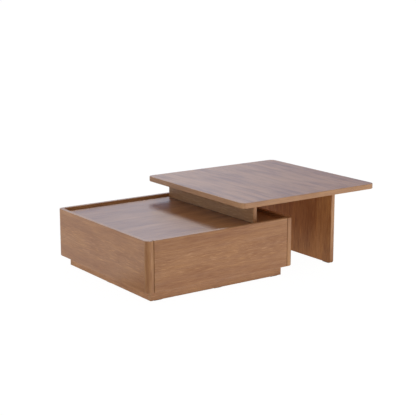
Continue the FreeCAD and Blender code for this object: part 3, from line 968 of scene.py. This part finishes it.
def lipping_walnut():
    """Each strip of the lipping has its grain along its own side of the top."""
    material, tree = new_finish("lipping_walnut")
    place = axes_of(tree, object_place(tree))
    low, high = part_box("top_lipping")
    middle_x = (low[0] + high[0]) / 2
    end_strip = abs(place["X"] - middle_x).over(abs(place["Y"]))
    along_x = vector(tree, place["X"] + LONG_STRIP_SHIFT, place["Z"], place["Y"])
    along_y = vector(tree, place["Y"], place["Z"] + END_STRIP_SHIFT, place["X"])
    grain = place_mix(tree, end_strip, along_x, along_y)
    wood, height, pore = walnut_colour(tree, grain, heart=0.6, tone=0.22, bands=1.1)
    # painted cool sheen, stronger on the end strips
    wood = tinted(tree, wood, colour_mix(tree, end_strip, LONG_PAINTED_SHEEN, END_PAINTED_SHEEN))
    satin_walnut(tree, wood, height, pore)
    return material


dress(lipping_walnut(), "top_lipping")


# ------------------------------------------------------------ short panel and leg
# The two walnut veneered panels that carry the top: the short one stands in the tray on a felt
# strip, and the leg stands on the floor. Loose tenons and a glued batten hold each to the top.

# The short panel's tint greys and cools it: painted shade, for the cool shade under the top.
PAINTED_COOL_SHADE = (1.01, 1.23, 1.46, 1.0)
# The leg's tint warms it: painted light, for the warm light that falls under the top.
PAINTED_WARM_LIGHT = (1.00, 1.01, 0.88, 1.0)
support_walnut = walnut("support_walnut", "Y", "Z", "X", shift=(2.4, 8.02, 5.08), heart=0.30,
                        painted_light=PAINTED_COOL_SHADE)
leg_walnut = walnut("leg_walnut", "Z", "Y", "X", shift=(6.86, 0.02, 4.01), heart=0.1,
                    bands=1.7, streaks=1.7, painted_light=PAINTED_WARM_LIGHT)
dress(support_walnut, "support_panel")
dress(leg_walnut, "leg_panel")


# ------------------------------------------------------------ felt
# A strip of dark pressed wool felt, glued under the short panel. It slides on the tray when the
# table is opened, and spares the veneer.

FELT_DARK = (0.030, 0.022, 0.018, 1.0)
FELT_HAIR = (0.110, 0.086, 0.070, 1.0)
HAIR_PART = 0.6


def pressed_felt():
    material, tree = new_finish("pressed_felt")
    place = object_place(tree)
    tuft = specks(tree, place, 0.0012, detail=4.0)
    hair = spots(tree, place, length=0.0060, width=0.0003)
    surface(tree, {
        "Base Color": colour_mix(tree, HALFWAY + tuft + hair * HAIR_PART, FELT_DARK, FELT_HAIR),
        "Roughness": 0.95,
        "Sheen Weight": 0.4,
        "Sheen Roughness": 0.5,
        "Normal": relief(tree, tuft + hair, depth=0.0006, strength=0.8),
    })
    return material


dress(pressed_felt(), "support_felt")


# ------------------------------------------------------------ studio
# A white floor in a pale room, a long low white panel before the table, and a soft lamp low behind
# it at the right, from where its gloss also picks up a bluish light. The floor shines softly on
# the table, warmly under the top, and keeps a faint shadow.

CAMERA_PLACE = (-3.066, -4.259, 1.455)
CAMERA_TURN = math.radians(35.25)
CAMERA_TILT = math.radians(12.74)

lens = bpy.data.cameras.new("camera")
lens.lens = 96.35
lens.sensor_width = 36.0
lens.clip_end = 200.0
camera = bpy.data.objects.new("camera", lens)
camera.location = CAMERA_PLACE
camera.rotation_euler = (math.pi / 2 - CAMERA_TILT, 0.0, -CAMERA_TURN)
scene.collection.objects.link(camera)
scene.camera = camera

LAMP_COMPASS = math.radians(58.0)               # from +X towards +Y
LAMP_HEIGHT = math.radians(31.0)
sun = bpy.data.lights.new("low_lamp", "SUN")
sun.energy = 0.41
sun.angle = math.radians(12.0)
lamp = bpy.data.objects.new("low_lamp", sun)
lamp.rotation_euler = (0.0, math.pi / 2 - LAMP_HEIGHT, LAMP_COMPASS)
scene.collection.objects.link(lamp)


def seen_directly(tree):
    """Whether a ray is the camera's own or comes through glass, and whether it is a gloss."""
    ray = tree.node("ShaderNodeLightPath")
    straight = ray.maths("MAXIMUM", ray["Is Camera Ray"], ray["Is Transmission Ray"])
    return straight, ray["Is Glossy Ray"]


def shader_mix(tree, factor, first, second):
    return tree.node("ShaderNodeMixShader", {}, {0: factor, 1: first, 2: second})


def light(tree, kind, colour, strength=1.0):
    return tree.node(kind, {}, {"Color": colour, "Strength": strength})


def grey(level):
    return (level, level, level, 1.0)


world = bpy.data.worlds.new("studio")
world.use_nodes = True
scene.world = world
room = Tree(world.node_tree)
way = room.node("ShaderNodeTexCoord")["Generated"]
climb = axes_of(room, way)["Z"]
level_way = vector_maths(room, "MULTIPLY", way, (1.0, 1.0, 0.0))
level_way = room.node("ShaderNodeVectorMath", {"operation": "NORMALIZE"}, {0: level_way})


def toward(degrees, from_level, to_level):
    """Rises to 1 as a direction turns to this compass angle; the levels are cosines off it."""
    angle = math.radians(degrees)
    compass = (math.cos(angle), math.sin(angle), 0.0)
    return vector_maths(room, "DOT_PRODUCT", level_way, compass)["Value"].rise(from_level, to_level)


ROOM_LIGHT = 0.50
LOW_LIGHT = 0.30
PANEL_LIGHT = 0.90
PANEL_WAY = 270.0, -0.2, 0.6                    # its compass angle and levels, as toward takes them
LOW_CLIMB = 0.10, 0.32                          # how steeply a ray climbs where the low light ends
panel = toward(*PANEL_WAY) * PANEL_LIGHT
low = 1.0 - climb.rise(*LOW_CLIMB)
room_level = ROOM_LIGHT + low * (LOW_LIGHT - ROOM_LIGHT + panel)
lit = light(room, "ShaderNodeBackground", grey(1.0), room_level)

AROUND = grey(0.27)                             # what the gloss of the table picks up
BEHIND_LEFT = grey(2.00)
BACK_LOW = grey(0.41)
BACK_MIDDLE = (0.20, 0.40, 0.84, 1.0)
UPPER = grey(0.68)
BEHIND_LEFT_WAY = 122.0, 0.74, 0.95
BACK_WAY = 52.0, 0.68, 0.92
BACK_CLIMB = 0.14, 0.26
UPPER_CLIMB = 0.60, 0.80
back = colour_mix(room, climb.rise(*BACK_CLIMB), BACK_LOW, BACK_MIDDLE)
gloss_colour = colour_mix(room, toward(*BEHIND_LEFT_WAY), AROUND, BEHIND_LEFT)
gloss_colour = colour_mix(room, toward(*BACK_WAY), gloss_colour, back)
gloss_colour = colour_mix(room, climb.rise(*UPPER_CLIMB), gloss_colour, UPPER)
gloss = light(room, "ShaderNodeBackground", gloss_colour)
white = light(room, "ShaderNodeBackground", grey(1.0))
straight, glossy = seen_directly(room)
shown = shader_mix(room, straight, shader_mix(room, glossy, lit, gloss), white)
room.node("ShaderNodeOutputWorld", {}, {"Surface": shown})

paint = bpy.data.materials.new("studio_floor")
paint.use_nodes = True
paint.cycles.emission_sampling = "NONE"
ground = Tree(paint.node_tree)
spot = axes_of(ground, object_place(ground))
LEFT_OF_TABLE = -0.70, -0.60                    # where each part of the floor fades, in metres
BEFORE_TABLE = -0.45, -0.35
BESIDE_END = -0.05, 0.05
UNDER_TOP_X = 0.29                              # between the box and the leg
UNDER_TOP_HALF_X = 0.09, 0.19
UNDER_TOP_HALF_Y = 0.35, 0.45
left_of_table = 1.0 - spot["X"].rise(*LEFT_OF_TABLE)
before_table = 1.0 - spot["Y"].rise(*BEFORE_TABLE)
beside_end = left_of_table * (1.0 - spot["Y"].rise(*BESIDE_END))
under_x = 1.0 - abs(spot["X"] - UNDER_TOP_X).rise(*UNDER_TOP_HALF_X)
under_top = under_x * (1.0 - abs(spot["Y"]).rise(*UNDER_TOP_HALF_Y))


def floor_light(elsewhere, before, left, end, under):
    """The floor's colour by place: it shines on the table in the place of a lit floor's bounce."""
    colour = colour_mix(ground, before_table, elsewhere, before)
    colour = colour_mix(ground, left_of_table, colour, left)
    colour = colour_mix(ground, beside_end, colour, end)
    colour = colour_mix(ground, under_top, colour, under)
    return light(ground, "ShaderNodeEmission", colour)


FLOOR_PAINT = grey(0.85)
FLOOR_GLOW = 1.06
GLOW_SHARE = 0.92                               # the rest is matt paint, which takes the shadow
bounce = floor_light(elsewhere=grey(0.60), before=grey(0.97), left=grey(0.69), end=grey(0.69),
                     under=(0.58, 0.28, 0.10, 1.0))
sheen = floor_light(elsewhere=grey(0.20), before=grey(1.30), left=grey(1.12), end=grey(0.20),
                    under=(1.0, 1.0, 0.75, 1.0))
matt = ground.node("ShaderNodeBsdfDiffuse", {}, {"Color": FLOOR_PAINT})
glow = light(ground, "ShaderNodeEmission", grey(1.0), FLOOR_GLOW)
seen = shader_mix(ground, GLOW_SHARE, matt, glow)
straight, glossy = seen_directly(ground)
covered = shader_mix(ground, straight, shader_mix(ground, glossy, bounce, sheen), seen)
ground.node("ShaderNodeOutputMaterial", {}, {"Surface": covered})

FLOOR_HALF = 30.0
FLOOR_DROP = 0.0005
corners = []
for x, y in ((-1, -1), (1, -1), (1, 1), (-1, 1)):
    corners.append((x * FLOOR_HALF, y * FLOOR_HALF, -FLOOR_DROP))
floor_mesh = bpy.data.meshes.new("floor")
floor_mesh.from_pydata(corners, [], [(0, 1, 2, 3)])
floor_mesh.materials.append(paint)
floor = bpy.data.objects.new("floor", floor_mesh)
scene.collection.objects.link(floor)
floor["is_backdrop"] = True

scene.view_settings.view_transform = "Standard"

visual_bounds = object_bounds()
sizes = {"cad": [list(corner) for corner in cad_bounds], "visual": [list(corner) for corner in visual_bounds]}
